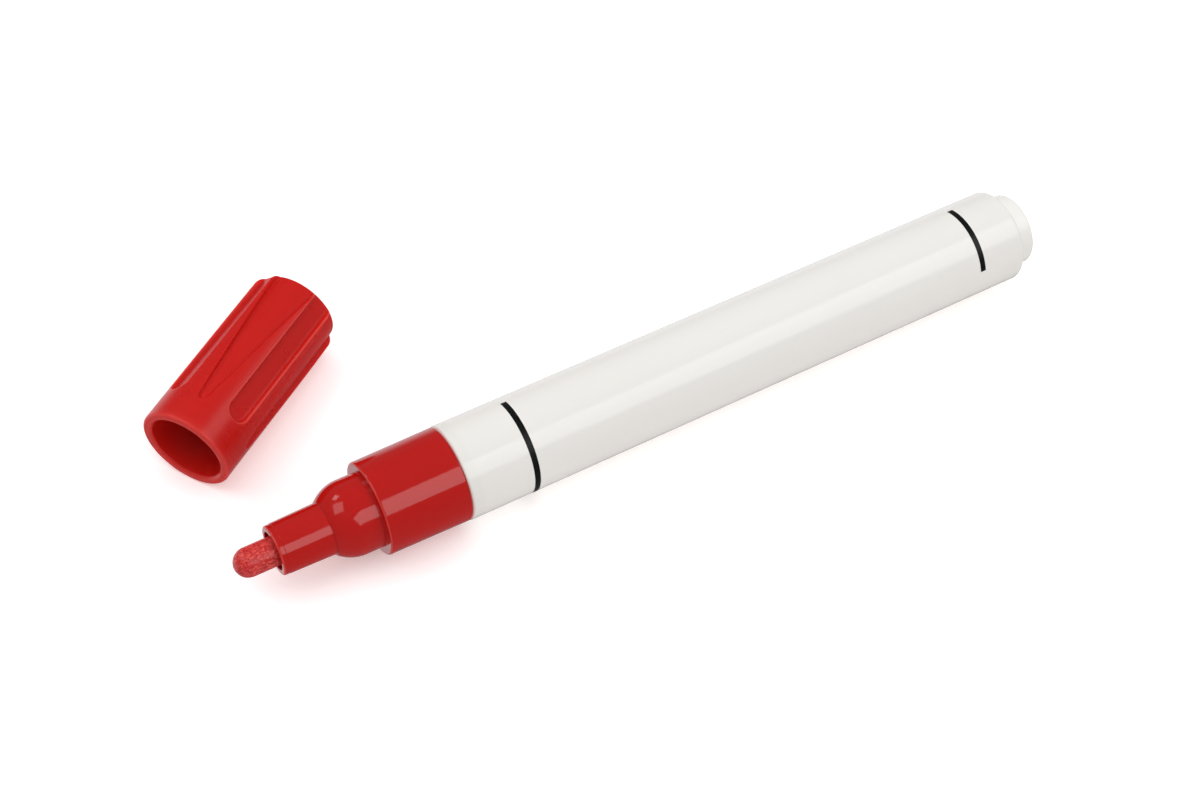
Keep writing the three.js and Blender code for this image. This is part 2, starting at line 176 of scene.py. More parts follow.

# %% [markdown]
# ## One way to make a skin
# A turned piece is a grid of points: rows follow the profile and columns go round the axis. The same
# grid can carry ribs or recesses by changing a radius here and there, and every edge loop stays tidy.
# That is why the meshes are written as grids and not carved with booleans. Columns that meet in one
# point are merged afterwards.
#
# An edge that stands out gets a painted highlight: a paler colour where its round would catch the light.
# How strong it is at a point, from 0 to 1, is stored in the mesh as an attribute, and the material reads
# it. Finding the edges inside the material was tried first, but it left streaks on the long thin faces,
# while the profile already knows where its corners are.

# %% Skins and pieces
SHARP = math.radians(38)
MERGE = 0.0001 * MM
SEGMENTS = 192
# The mesh attribute that says how strongly the painted edge highlight shows at each point.
HIGHLIGHT_ATTRIBUTE = "painted_edge_highlight"
HIGHLIGHT_FADE = 1.5


def skin(grid, closed, capped=False):
    """Points and faces over a grid whose columns go round. A closed one joins its last row to its first."""
    rows, columns = grid.shape[:2]
    number = np.arange(rows * columns).reshape(rows, columns)
    ends = [number[0, ::-1].tolist(), number[-1].tolist()] if capped else []
    number = np.vstack([number, number[:1]]) if closed else number
    number = np.hstack([number, number[:, :1]])
    quads = np.stack([number[:-1, :-1], number[:-1, 1:], number[1:, 1:], number[1:, :-1]], -1)
    return grid.reshape(-1, 3).tolist(), quads.reshape(-1, 4).tolist() + ends


def turned(place, profile, closed, radius_at=None, segments=SEGMENTS):
    """A skin turned on an axis. radius_at(radius, station, angle) may add ribs or grooves."""
    angle = np.linspace(0, 2 * math.pi, segments, endpoint=False)
    radius, station = profile[:, :1], profile[:, 1:]
    if radius_at:
        radius = radius_at(radius, station, angle)
    return skin(points(place, angle, radius, station), closed)


def faded(distance, reach):
    """1 within half the reach, and falling to 0 at one and a half times it."""
    return np.clip(HIGHLIGHT_FADE - distance / reach, 0, 1)


def near(profile, corners, reach):
    """How near each row of a profile is to any of the given corners, from 0 to 1."""
    apart = np.linalg.norm(profile[:, None] - np.array(corners)[None], axis=2).min(axis=1)
    return faded(apart, reach)


def piece(name, shape, material, body, slot, *stands_for, painted_highlight=None):
    """An object from a shape, with its finish, riding on its body in place of the solid it stands for."""
    mesh = bpy.data.meshes.new(name)
    mesh.from_pydata(shape[0], [], shape[1])
    # An optional painted edge highlight, one value per point.
    if painted_highlight is not None:
        mesh.attributes.new(HIGHLIGHT_ATTRIBUTE, "FLOAT", "POINT").data.foreach_set("value", np.ravel(painted_highlight))
    form = bmesh.new()
    form.from_mesh(mesh)
    bmesh.ops.remove_doubles(form, verts=form.verts, dist=MERGE)
    bmesh.ops.recalc_face_normals(form, faces=form.faces)
    form.to_mesh(mesh)
    form.free()
    mesh.shade_smooth()
    mesh.set_sharp_from_angle(angle=SHARP)
    mesh.materials.append(material)
    made = bpy.data.objects.new(name, mesh)
    scene.collection.objects.link(made)
    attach(made, body)
    if stands_for:
        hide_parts(*stands_for)
    print(f"{name}: {len(mesh.vertices)} points, rides on {body}")
    return made


# %% [markdown]
# ## Colours and nodes
# Colours are given as sRGB hex values. Shaders work in linear light, so one function turns them.
# Another adds a node, sets it up and wires it, so that a material reads as a short recipe. Texture
# coordinates are the piece's own metres, so a pattern keeps its real size and moves with the piece.

# %% Helpers for materials
MIX_A, MIX_B, MIX_RESULT = 6, 7, 2


def linear(colour):
    """Linear RGBA from an sRGB hex colour."""
    parts = [int(colour[i : i + 2], 16) / 255 for i in (1, 3, 5)]
    return [c / 12.92 if c <= 0.04045 else ((c + 0.055) / 1.055) ** 2.4 for c in parts] + [1.0]


def add(tree, kind, sockets=None, **settings):
    """Adds a node. A socket's value is a number, a colour, or another node's output to link."""
    node = tree.nodes.new(kind)
    for name, value in settings.items():
        setattr(node, name, value)
    for key, value in (sockets or {}).items():
        if isinstance(value, bpy.types.NodeSocket):
            tree.links.new(value, node.inputs[key])
        else:
            node.inputs[key].default_value = value
    return node


def finish_of(name, sockets):
    """A new material with its node tree, its shader and the piece's coordinates."""
    material = bpy.data.materials.new(name)
    material.use_nodes = True
    tree = material.node_tree
    tree.nodes.clear()
    shader = add(tree, "ShaderNodeBsdfPrincipled", sockets)
    add(tree, "ShaderNodeOutputMaterial", {"Surface": shader.outputs[0]})
    metres = add(tree, "ShaderNodeTexCoord").outputs["Object"]
    return material, tree, shader, metres


def grain(millimetres):
    """The noise scale that gives features of this size."""
    return 1 / (millimetres * MM)


# %% [markdown]
# Moulded plastics share a few small faults that keep them from looking like paint on a screen. The
# pigment is mixed unevenly, so the colour drifts a little. Handling dulls the gloss in patches. The
# skin follows the mould's own texture, from a polished one's slow ripple to a spark-eroded one's grain.
# Edges that stand out also get a painted highlight, a paler colour where their round would catch the light.

# %% What every moulded skin shares
NOISE_LOW, NOISE_HIGH = 0.35, 0.65


def mixed(tree, factor, colour_a, colour_b):
    return add(
        tree, "ShaderNodeMix", {"Factor": factor, MIX_A: colour_a, MIX_B: colour_b}, data_type="RGBA"
    ).outputs[MIX_RESULT]


def drifting(tree, metres, colours, patch):
    """A colour that drifts between two over patches of a size in millimetres."""
    pigment = add(tree, "ShaderNodeTexNoise", {"Vector": metres, "Scale": grain(patch), "Detail": 3})
    return mixed(tree, pigment.outputs[0], linear(colours[0]), linear(colours[1]))


def handled(tree, shader, metres, gloss, patch):
    """Roughness between two values, in patches where fingers have been."""
    touch = add(tree, "ShaderNodeTexNoise", {"Vector": metres, "Scale": grain(patch), "Detail": 5})
    level = add(
        tree,
        "ShaderNodeMapRange",
        {
            "Value": touch.outputs[0],
            "From Min": NOISE_LOW,
            "From Max": NOISE_HIGH,
            "To Min": gloss[0],
            "To Max": gloss[1],
        },
    )
    tree.links.new(level.outputs[0], shader.inputs["Roughness"])


def with_painted_edge_highlight(tree, colour, painted_highlight):
    """A colour that turns to a paler one, a painted highlight, where the mesh marks an edge that catches the
    light.
    """
    edge = add(tree, "ShaderNodeAttribute", attribute_name=HIGHLIGHT_ATTRIBUTE).outputs["Fac"]
    return mixed(tree, edge, colour, linear(painted_highlight))


def textured(tree, shader, metres, size, height, detail=2):
    """A bump with features of a size and a height in millimetres."""
    swell = add(tree, "ShaderNodeTexNoise", {"Vector": metres, "Scale": grain(size), "Detail": detail})
    bump = add(tree, "ShaderNodeBump", {"Height": swell.outputs[0], "Distance": height * MM})
    tree.links.new(bump.outputs[0], shader.inputs["Normal"])


print("mid grey is", round(linear("#808080")[0], 3), "in linear light")

# %% [markdown]
# ## White barrel: polypropylene from a polished mould
# The barrel is an off-white polypropylene tube. Its mould is polished, so the skin mirrors a lamp as a
# clean-edged band, over a faint orange peel left by shrinkage. Right at the joint a pink blush is painted,
# a painted reflection of the red collar, and the next millimetre or two are painted a touch greyer than
# the rest. Colour is therefore mixed by the distance from the lip, with a noisy border as no real one is
# straight.

# %% Finish of the barrel
BARREL_WHITES = ("#ece9e4", "#efede8")
# A pink blush painted at the lip, a painted reflection of the red collar, then a slightly greyer white.
MILKY_WHITE, PAINTED_COLLAR_LIGHT = "#eae8e2", "#ebd0c9"
MILKY_WIDTH, MILKY_FADE = 1.7, 0.9
COLLAR_LIGHT_WIDTH = 0.35
BORDER_WAVER, WAVER_PATCH = 0.5, 5

barrel_white, tree, shader, metres = finish_of(
    "polypropylene, off-white, polished mould", {"IOR": 1.49}
)
waver = add(tree, "ShaderNodeTexNoise", {"Vector": metres, "Scale": grain(WAVER_PATCH), "Detail": 2})
along = add(tree, "ShaderNodeSeparateXYZ", {"Vector": metres}).outputs["X"]
border = add(
    tree,
    "ShaderNodeMath",
    {0: waver.outputs[0], 1: BORDER_WAVER * MM, 2: along},
    operation="MULTIPLY_ADD",
).outputs[0]


def beyond(width, fade):
    """0 up to a distance from the lip in millimetres, and 1 past its fade."""
    start = lip[0] + width * MM
    return add(
        tree,
        "ShaderNodeMapRange",
        {"Value": border, "From Min": start, "From Max": start + fade * MM},
        interpolation_type="SMOOTHSTEP",
    ).outputs[0]


near_lip = mixed(tree, beyond(COLLAR_LIGHT_WIDTH, COLLAR_LIGHT_WIDTH), linear(PAINTED_COLLAR_LIGHT), linear(MILKY_WHITE))
body_white = drifting(tree, metres, BARREL_WHITES, patch=30)
whole = mixed(tree, beyond(MILKY_WIDTH, MILKY_FADE), near_lip, body_white)
tree.links.new(whole, shader.inputs["Base Color"])
handled(tree, shader, metres, gloss=(0.06, 0.1), patch=14)
textured(tree, shader, metres, size=5, height=0.003)
print("milky band:", MILKY_WIDTH, "mm")

# %% [markdown]
# ## The barrel itself
# It is a plain tube with a small round on the lip and one like it at the shoulder, where the edge is
# turned in over the tail plug. Both roundings are part of the profile, so the light runs round them.

# %% Barrel
BARREL_LENGTH, BORE_RADIUS = 100.0, 6.5
LIP_ROUND, LIP_CHAMFER, SHOULDER_ROUND, SHOULDER_WALL = 0.4, 0.3, 0.45, 1.1
KNOB_RADIUS, KNOB_FIT = 5.8, 0.1

barrel_profile = rounded(
    [
        (BORE_RADIUS + LIP_CHAMFER, 0, 0.08),
        (BARREL_RADIUS, 0, LIP_ROUND),
        (BARREL_RADIUS, BARREL_LENGTH, SHOULDER_ROUND),
        (KNOB_RADIUS + KNOB_FIT, BARREL_LENGTH, 0.12),
        (KNOB_RADIUS + KNOB_FIT, BARREL_LENGTH - SHOULDER_WALL, 0),
        (BORE_RADIUS, BARREL_LENGTH - SHOULDER_WALL, 0.15),
        (BORE_RADIUS, LIP_CHAMFER, 0),
    ],
    closed=True,
)
piece("barrel_tube", turned(marker, barrel_profile, True), barrel_white, "marker", "barrel_white", "barrel")

# %% [markdown]
# ## Two printed rings
# Two black rings are screen-printed round the barrel. Ink stands a hundredth or two of a millimetre
# proud and ends square, and neither ring goes all the way round. Each is a thin curved strip of its own,
# so its edge stays crisp at any distance and it can be left off the part.

# %% Ink and rings
INK_UNDER, INK_OVER, INK_ROUND = 7.485, 7.515, 0.012
RING_WIDTH, RING_STEP = 0.95, 1.5
# Each ring's distance from the lip, and the angles in degrees at which it starts and ends.
RINGS = {"ring_front": (10.7, -29, 150), "ring_rear": (91.85, -29, 66.6)}

ring_ink, tree, shader, metres = finish_of(
    "screen ink, black, cured", {"IOR": 1.5, "Specular IOR Level": 0.25}
)
# Cured ink is a deep neutral black with a low sheen, thinner and greyer where the screen let less through.
tree.links.new(drifting(tree, metres, ("#070708", "#0e0e0f"), patch=0.8), shader.inputs["Base Color"])
handled(tree, shader, metres, gloss=(0.28, 0.42), patch=2)
textured(tree, shader, metres, size=0.25, height=0.002)

for name, (station, first, last) in RINGS.items():
    strip = rounded(
        [
            (INK_UNDER, station - RING_WIDTH / 2, 0),
            (INK_OVER, station - RING_WIDTH / 2, INK_ROUND),
            (INK_OVER, station + RING_WIDTH / 2, INK_ROUND),
            (INK_UNDER, station + RING_WIDTH / 2, 0),
        ],
        closed=True,
    )
    sweep = np.radians(np.arange(first, last, RING_STEP).tolist() + [last])
    grid = points(marker, sweep[:, None], strip[:, 0], strip[:, 1])
    piece(name, skin(grid, closed=False, capped=True), ring_ink, "marker", "ring_ink")

# %% [markdown]
# ## Tail plug: polyethylene stopper
# The knob at the tail is the end of a separate stopper, cored out from inside. It is a touch lighter
# than the barrel and duller, as soft polyethylene takes no high polish. The thin dark line round its
# foot is the real gap between the two pieces.

# %% Tail plug
plug_white, tree, shader, metres = finish_of(
    "polyethylene, warm white, moulded", {"IOR": 1.5}
)
tree.links.new(drifting(tree, metres, ("#efece7", "#f2f0eb"), patch=6), shader.inputs["Base Color"])
handled(tree, shader, metres, gloss=(0.16, 0.26), patch=5)
textured(tree, shader, metres, size=2.5, height=0.004)

PLUG_FRONT, PLUG_SHOULDER, KNOB_END = 92.0, 98.8, 103.3
FLANGE_RADIUS, CORE_RADIUS, PLUG_END_WALL, KNOB_ROUND = 6.4, 4.6, 1.5, 0.45

plug_profile = rounded(
    [
        (0, KNOB_END - PLUG_END_WALL, 0),
        (CORE_RADIUS, KNOB_END - PLUG_END_WALL, 0.4),
        (CORE_RADIUS, PLUG_FRONT, 0.2),
        (FLANGE_RADIUS, PLUG_FRONT, 0.3),
        (FLANGE_RADIUS, PLUG_SHOULDER, 0.15),
        (KNOB_RADIUS, PLUG_SHOULDER, 0),
        (KNOB_RADIUS, KNOB_END, KNOB_ROUND),
        (0, KNOB_END, 0),
    ],
    closed=False,
)
piece("tail_stopper", turned(marker, plug_profile, False), plug_white, "marker", "barrel_white", "tail_plug")

# %% [markdown]
# ## Red front section: ABS with a mirror polish
# Collar, neck, dome and nose tube are one moulding in glossy red ABS. Its mould was polished to a
# mirror, so lamps show as sharp bright shapes and only a very slow ripple bends them. The collar's front
# edge and the tube's rim get a painted highlight: thin pale lines where their rounds catch the light.

# %% Finish of the front section
# The paler red of the painted highlight on the collar's front edge and the tube's rim.
NOSE_EDGE_HIGHLIGHT = "#de4f48"

nose_red, tree, shader, metres = finish_of("ABS, signal red, mirror polished", {"IOR": 1.54})
red = with_painted_edge_highlight(tree, drifting(tree, metres, ("#b5110c", "#ba140e"), patch=12), NOSE_EDGE_HIGHLIGHT)
tree.links.new(red, shader.inputs["Base Color"])
handled(tree, shader, metres, gloss=(0.06, 0.12), patch=7)
textured(tree, shader, metres, size=3.2, height=0.005)

# %% Profile of the front section
COLLAR_REAR, COLLAR_FRONT, COLLAR_ROUND = 7.42, 7.3, 0.35
COLLAR_BACK, COLLAR_FACE, NECK_FACE, DOME_FACE, RIM = -0.1, -13.2, -16.0, -20.2, -28.4
NECK_RADIUS, DOME_FOOT, TUBE_REAR, TUBE_FRONT = 5.85, 4.21, 4.05, 3.9
RIM_BAND, RIM_STEP, RIM_ROUND = 0.9, 0.06, 0.3
SPIGOT_RADIUS, SPIGOT_END, CHAMBER_RADIUS, CHAMBER_FACE = 6.4, 12.0, 5.0, -8.0
CHANNEL, CHANNEL_MOUTH, MOUTH_DEPTH = 2.35, 2.95, 1.6
DOME_STEPS = 20

dome_drop, dome_length = NECK_RADIUS - DOME_FOOT, NECK_FACE - DOME_FACE
dome_radius = (dome_length**2 + dome_drop**2) / (2 * dome_drop)
dome_turn = np.linspace(-math.asin(dome_length / dome_radius), 0, DOME_STEPS)
dome = [
    (NECK_RADIUS - dome_radius * (1 - math.cos(t)), NECK_FACE + dome_radius * math.sin(t), 0)
    for t in dome_turn
]
front_profile = rounded(
    [
        (CHANNEL_MOUTH, RIM, 0.1),
        (TUBE_FRONT - RIM_STEP, RIM, RIM_ROUND),
        (TUBE_FRONT - RIM_STEP, RIM + RIM_BAND, 0.05),
        (TUBE_FRONT, RIM + RIM_BAND + RIM_STEP, 0.05),
        (TUBE_REAR, DOME_FACE, 0.06),
        *dome,
        (NECK_RADIUS, COLLAR_FACE, 0.12),
        (COLLAR_FRONT, COLLAR_FACE, COLLAR_ROUND),
        (COLLAR_REAR, COLLAR_BACK, 0.1),
        (SPIGOT_RADIUS, COLLAR_BACK, 0),
        (SPIGOT_RADIUS, SPIGOT_END, 0.5),
        (CHAMBER_RADIUS, SPIGOT_END, 0.2),
        (CHAMBER_RADIUS, CHAMBER_FACE, 0),
        (CHANNEL, CHAMBER_FACE, 0),
        (CHANNEL, RIM + MOUTH_DEPTH, 0),
        (CHANNEL_MOUTH, RIM + MOUTH_DEPTH, 0),
    ],
    closed=True,
)
print("dome radius:", round(dome_radius, 2), "mm")

# %% [markdown]
# The nib slides in a channel with six grooves that let the paint past it. They are pressed into the grid
# by raising the channel's radius at six places round it, with walls that lean just enough for a mould.

# %% Front section with its grooved channel
GROOVES, GROOVE_DEPTH, GROOVE_WIDTH, GROOVE_LEAN = 6, 0.5, 1.5, 0.1
FRONT_SEGMENTS, HIGHLIGHT_REACH = 240, 0.16


def grooved(radius, station, angle):
    """The front section's radius, raised in the channel's grooves."""
    pitch = 2 * math.pi / GROOVES
    from_centre = np.abs((angle + pitch / 2) % pitch - pitch / 2) * CHANNEL
    share = np.clip((GROOVE_WIDTH / 2 + GROOVE_LEAN / 2 - from_centre) / GROOVE_LEAN, 0, 1)
    is_channel = (radius <= CHANNEL) & (station <= CHAMBER_FACE)
    return radius + is_channel * share * GROOVE_DEPTH


front = turned(marker, front_profile, True, grooved, FRONT_SEGMENTS)
# The painted edge highlight is strongest at the collar's front corner and the tube's rim.
highlighted_corners = [(COLLAR_FRONT, COLLAR_FACE), (TUBE_FRONT - RIM_STEP, RIM)]
front_highlight = np.repeat(near(front_profile, highlighted_corners, HIGHLIGHT_REACH), FRONT_SEGMENTS)
piece("nose_moulding", front, nose_red, "marker", "nose_red", "front_section", painted_highlight=front_highlight)

# %% [markdown]
# ## Bullet nib: bonded polyester fibre
# The nib is a rod of fine fibres, bonded and ground to a round tip, and soaked in red paint. Pale red
# specks are painted into its dark red: partly dry fibre, partly painted glints off its many small facets,
# which make it look paler than the mouldings. Wet paint in between them glints.
# The surface is finely streaked along the rod and pitted. The pits are in the mesh. The finer streaks
# are drawn about three times too coarse, so that they show.

# %% Nib
NIB_RADIUS, NIB_TIP, NIB_REAR = 2.25, -34.5, -11.5
NIB_CHAMFER, SHANK_STEP, SHANK_END = 0.5, 0.15, -27
TIP_STEPS, NIB_SEGMENTS = 40, 120
FIBRE, STREAK, FIBRE_RELIEF = 0.12, 8, 0.1
# Noise levels over which the dark red turns to the pale specks: partly dry fibre, partly painted glints.
SPECKLE_FROM, SPECKLE_FULL = 0.2, 0.36
PIT_SIZE, PIT_DEPTH, PIT_SHARE, UNPITTED_RADIUS = 0.35, 0.03, 0.4, 0.2

nib_fibre, tree, shader, metres = finish_of(
    "polyester fibre, ground, wet with red paint", {"IOR": 1.48, "Roughness": 0.34, "Coat Weight": 0.3}
)
stretched = add(
    tree, "ShaderNodeMapping", {"Vector": metres, "Scale": (1 / STREAK, 1, 1)}, vector_type="POINT"
).outputs[0]
fibres = add(tree, "ShaderNodeTexNoise", {"Vector": stretched, "Scale": grain(FIBRE), "Detail": 4}).outputs[0]
pits = add(tree, "ShaderNodeTexNoise", {"Vector": metres, "Scale": grain(PIT_SIZE), "Detail": 4}).outputs[0]
rough = add(tree, "ShaderNodeMath", {0: fibres, 1: pits}, operation="MULTIPLY").outputs[0]
# Where the fibres stand proud, pale specks are painted: partly dry fibre, partly painted glints.
dry_fibre_and_glint = add(
    tree, "ShaderNodeMapRange", {"Value": rough, "From Min": SPECKLE_FROM, "From Max": SPECKLE_FULL}
).outputs[0]
tree.links.new(mixed(tree, dry_fibre_and_glint, linear("#b81216"), linear("#ec5248")), shader.inputs["Base Color"])
bump = add(tree, "ShaderNodeBump", {"Height": rough, "Distance": FIBRE_RELIEF * MM})
tree.links.new(bump.outputs[0], shader.inputs["Normal"])

tip = [
    (NIB_RADIUS * math.cos(t), NIB_TIP + NIB_RADIUS * (1 + math.sin(t)))
    for t in np.linspace(-math.pi / 2, 0, TIP_STEPS)
]
shank = [(NIB_RADIUS, s) for s in np.arange(NIB_TIP + NIB_RADIUS + SHANK_STEP, SHANK_END, SHANK_STEP)]
tail = [(NIB_RADIUS, NIB_REAR - NIB_CHAMFER), (NIB_RADIUS - NIB_CHAMFER, NIB_REAR), (0, NIB_REAR)]
nib_profile = np.array(tip + shank + tail)


def pitted(radius, station, angle):
    """The nib's radius, eaten away by shallow pits. The tip's own point stays."""
    spots = points(marker, angle, radius, station) / (PIT_SIZE * MM)
    depth = np.array([[noise.noise(Vector(spot)) for spot in row] for row in spots])
    eaten = radius - PIT_DEPTH * np.clip(depth + PIT_SHARE, 0, 1)
    return np.where(radius > UNPITTED_RADIUS, eaten, radius)


nib = turned(marker, nib_profile, False, pitted, NIB_SEGMENTS)
piece("nib_rod", nib, nib_fibre, "nib", "nib_fibre", "nib")

# %% [markdown]
# ## Valve: seat, plunger, cage, spring
# Inside the collar, the nib pushes a plunger off its seat against a small spring, and a cage holds the
# spring. These are natural acetal, a milky white with a waxy skin, and the spring is drawn stainless
# wire. The cage's slots are right as designed, so its solid stays and only gets bevels and a finish.

# %% Acetal, seat, plunger and cage
acetal, tree, shader, metres = finish_of("acetal, natural, moulded", {"IOR": 1.48})
tree.links.new(drifting(tree, metres, ("#e3e3da", "#e9e9e2"), patch=3), shader.inputs["Base Color"])
handled(tree, shader, metres, gloss=(0.3, 0.42), patch=3)
textured(tree, shader, metres, size=0.4, height=0.003)

VALVE_FIT = 0.1
SEAT_FACE, SEAT_BACK, SEAT_BORE, SEAT_CONE = -7.9, -4.9, 1.4, 1.2
PIN_RADIUS, PLUNGER_CONE = 0.8, 1.1
HEAD_RADIUS, HEAD_BACK, STEM_RADIUS, STEM_END = 2.2, -3.7, 1.2, 6.8

seat_profile = rounded(
    [
        (SEAT_BORE, SEAT_FACE, 0.1),
        (CHAMBER_RADIUS - VALVE_FIT, SEAT_FACE, 0.2),
        (CHAMBER_RADIUS - VALVE_FIT, SEAT_BACK, 0.2),
        (HEAD_RADIUS, SEAT_BACK, 0.1),
        (SEAT_BORE, SEAT_BACK - SEAT_CONE, 0.1),
    ],
    closed=True,
)
plunger_profile = rounded(
    [
        (0, NIB_REAR + VALVE_FIT, 0),
        (PIN_RADIUS, NIB_REAR + VALVE_FIT, 0.15),
        (PIN_RADIUS, SEAT_BACK - PLUNGER_CONE, 0.05),
        (SEAT_BORE - VALVE_FIT, SEAT_BACK - PLUNGER_CONE, 0.05),
        (HEAD_RADIUS - VALVE_FIT, SEAT_BACK, 0),
        (HEAD_RADIUS, SEAT_BACK + VALVE_FIT, 0),
        (HEAD_RADIUS, HEAD_BACK, 0.1),
        (STEM_RADIUS, HEAD_BACK, 0.1),
        (STEM_RADIUS, STEM_END, 0.25),
        (0, STEM_END, 0),
    ],
    closed=False,
)
piece("seat_ring", turned(marker, seat_profile, True), acetal, "marker", "valve_plastic", "valve_seat")
plunger = turned(marker, plunger_profile, False)
piece("plunger_pin", plunger, acetal, "plunger", "valve_plastic", "valve_plunger")

CAGE_BEVEL, BEVEL_STEPS = 0.08, 2
cage = frame["nodes"]["valve_cage"]
cage.data.materials.clear()
cage.data.materials.append(acetal)
edges = cage.modifiers.new("moulded edges", "BEVEL")
edges.width, edges.segments, edges.limit_method = CAGE_BEVEL * MM, BEVEL_STEPS, "ANGLE"
print("valve_cage keeps its solid")

# %% [markdown]
# A real compression spring has closed ends: its pitch falls to the wire's own diameter at both, so that
# it stands square. The helix is swept with that pitch, at one length. A real one squashes as the plunger
# lifts.

# %% Spring wire and spring
spring_wire, tree, shader, metres = finish_of(
    "stainless steel, drawn wire", {"Metallic": 1.0, "Anisotropic": 0.5}
)
tree.links.new(drifting(tree, metres, ("#c3c4c4", "#d2d2d0"), patch=1.5), shader.inputs["Base Color"])
handled(tree, shader, metres, gloss=(0.2, 0.32), patch=0.6)
textured(tree, shader, metres, size=0.1, height=0.001)

COIL_RADIUS, WIRE_RADIUS, TURNS, TURN_STEPS, WIRE_SIDES = 1.9, 0.2, 6, 40, 14
SPRING_FRONT, SPRING_BACK, LIFT = -3.6, 4.9, 2.0
END_CLOSING = 0.68

turn = np.linspace(0, 2 * math.pi * TURNS, TURNS * TURN_STEPS + 1)
share = turn / turn[-1]
rise = SPRING_BACK - SPRING_FRONT - 2 * WIRE_RADIUS
swing = END_CLOSING * np.sin(2 * math.pi * share) / (2 * math.pi)
station = SPRING_FRONT + WIRE_RADIUS + rise * (share - swing)
climb = rise / turn[-1] * (1 - END_CLOSING * np.cos(2 * math.pi * share))
lean = np.arctan2(climb, COIL_RADIUS)[:, None]
wire_turn = np.linspace(0, 2 * math.pi, WIRE_SIDES, endpoint=False)
outward, sideways = WIRE_RADIUS * np.cos(wire_turn), WIRE_RADIUS * np.sin(wire_turn)
wire_angle = turn[:, None] - np.sin(lean) * sideways / COIL_RADIUS
wire_station = station[:, None] + np.cos(lean) * sideways
coil = skin(points(marker, wire_angle, COIL_RADIUS + outward, wire_station), closed=False, capped=True)
spring = piece("spring_coil", coil, spring_wire, "marker", "spring_steel", "valve_spring")
fixed_end = tuple(points(marker, 0, 0, SPRING_BACK))
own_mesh(spring)

# %% [markdown]
# ## Mixing ball: hardened chrome steel
# A loose steel ball rattles in the paint when the marker is shaken. Bearing balls are lapped to a mirror,
# so its finish is bright and almost smooth, with only faint smears.

# %% Ball
ball_steel, tree, shader, metres = finish_of("chrome steel, lapped", {"Metallic": 1.0})
tree.links.new(drifting(tree, metres, ("#cfd0d1", "#d8d8d8"), patch=2), shader.inputs["Base Color"])
handled(tree, shader, metres, gloss=(0.06, 0.16), patch=1.5)
textured(tree, shader, metres, size=0.5, height=0.0005)

BALL_RADIUS, BALL_STATION, BALL_LIFT = 3.0, 45.0, 0.1
BALL_ROWS, BALL_SEGMENTS = 33, 64
ball_place = marker._replace(origin=points(marker, 0, BALL_RADIUS + BALL_LIFT - BORE_RADIUS, BALL_STATION))
latitude = np.linspace(-math.pi / 2, math.pi / 2, BALL_ROWS)
ball_profile = np.stack([BALL_RADIUS * np.cos(latitude), BALL_RADIUS * np.sin(latitude)], -1)
ball_profile[[0, -1], 0] = 0
ball = turned(ball_place, ball_profile, False, segments=BALL_SEGMENTS)
piece("steel_ball", ball, ball_steel, "ball", "ball_steel", "mixing_ball")

# %% [markdown]
# ## Red cap: polypropylene with a satin skin
# The cap is softer polypropylene, and its mould was finely spark-eroded. It is brighter than the nose but
# satin: a lamp turns into a broad soft glow. The real grain is finer than a tenth of a millimetre, and
# it is drawn half a millimetre wide so that it shows. Light also goes a little way into polypropylene
# and comes out red, which keeps the bore and the shaded side from going black. Subsurface scattering
# does that. A paler red is painted along the edges of the grip, as a painted highlight.

# %% Finish of the cap
# The paler red of the painted highlight on the grip's edges and the mouth's rim.
CAP_EDGE_HIGHLIGHT = "#dc5048"
GLOW_THROUGH = {
    "Subsurface Weight": 0.4,
    "Subsurface Radius": (1.0, 0.2, 0.1),
    "Subsurface Scale": 2.2 * MM,
}

cap_red, tree, shader, metres = finish_of(
    "polypropylene, signal red, satin", {"IOR": 1.49, "Specular IOR Level": 0.38, **GLOW_THROUGH}
)
red = with_painted_edge_highlight(tree, drifting(tree, metres, ("#c2140e", "#c81710"), patch=14), CAP_EDGE_HIGHLIGHT)
tree.links.new(red, shader.inputs["Base Color"])
handled(tree, shader, metres, gloss=(0.26, 0.33), patch=9)
textured(tree, shader, metres, size=0.5, height=0.0016, detail=3)

# %% [markdown]
# ## The cap's grip
# Eight recesses are moulded into the cap, four straight and four that widen until thin fins are left
# between them at the closed end. Each starts with a half circle, has near-upright walls and sinks
# slowly. The straight ones have flat floors, and the others' floors follow the round. A recess is
# described by how far a point lies inside its outline. The wall's section follows from that distance
# alone: a small round at the top edge, a short upright, and a fillet at the foot.

# %% Outline and wall of a recess
CAP_LENGTH = 31.1
SECTORS = 4
HALF_PITCH = math.pi / SECTORS
# Where a recess starts, its half width there and at the closed end, its depth at the start, and whether
# its floor is flat.
Recess = namedtuple("Recess", "start tip end depth flat")
STRAIGHT = Recess(start=5.4, tip=1.84, end=1.84, depth=0.78, flat=True)
FIN_WIDTH = 0.16
TAPERED_END = HALF_PITCH * CAP_RADIUS - STRAIGHT.end - FIN_WIDTH
TAPERED = Recess(start=5.0, tip=0.75, end=TAPERED_END, depth=0.52, flat=False)
DEPTH_AT_END = 0.97
EDGE_ROUND, WALL_LEAN, FOOT_ROUND = 0.2, 0.06, 0.3


def widening(recess):
    """How much the half width grows for each millimetre along the cap."""
    return (recess.end - recess.tip) / (CAP_LENGTH - recess.start - recess.tip)


def half_width(recess, depth, inset):
    """Half the width of an outline drawn in by inset, measured round the cap, in millimetres."""
    ahead = depth - recess.start - recess.tip
    radius = np.maximum(recess.tip - inset, 0)
    in_tip = np.sqrt(np.maximum(radius**2 - ahead**2, 0))
    slope = widening(recess)
    behind = np.maximum(recess.tip + slope * ahead - inset * math.hypot(1, slope), 0)
    return np.where(ahead < 0, in_tip, behind)


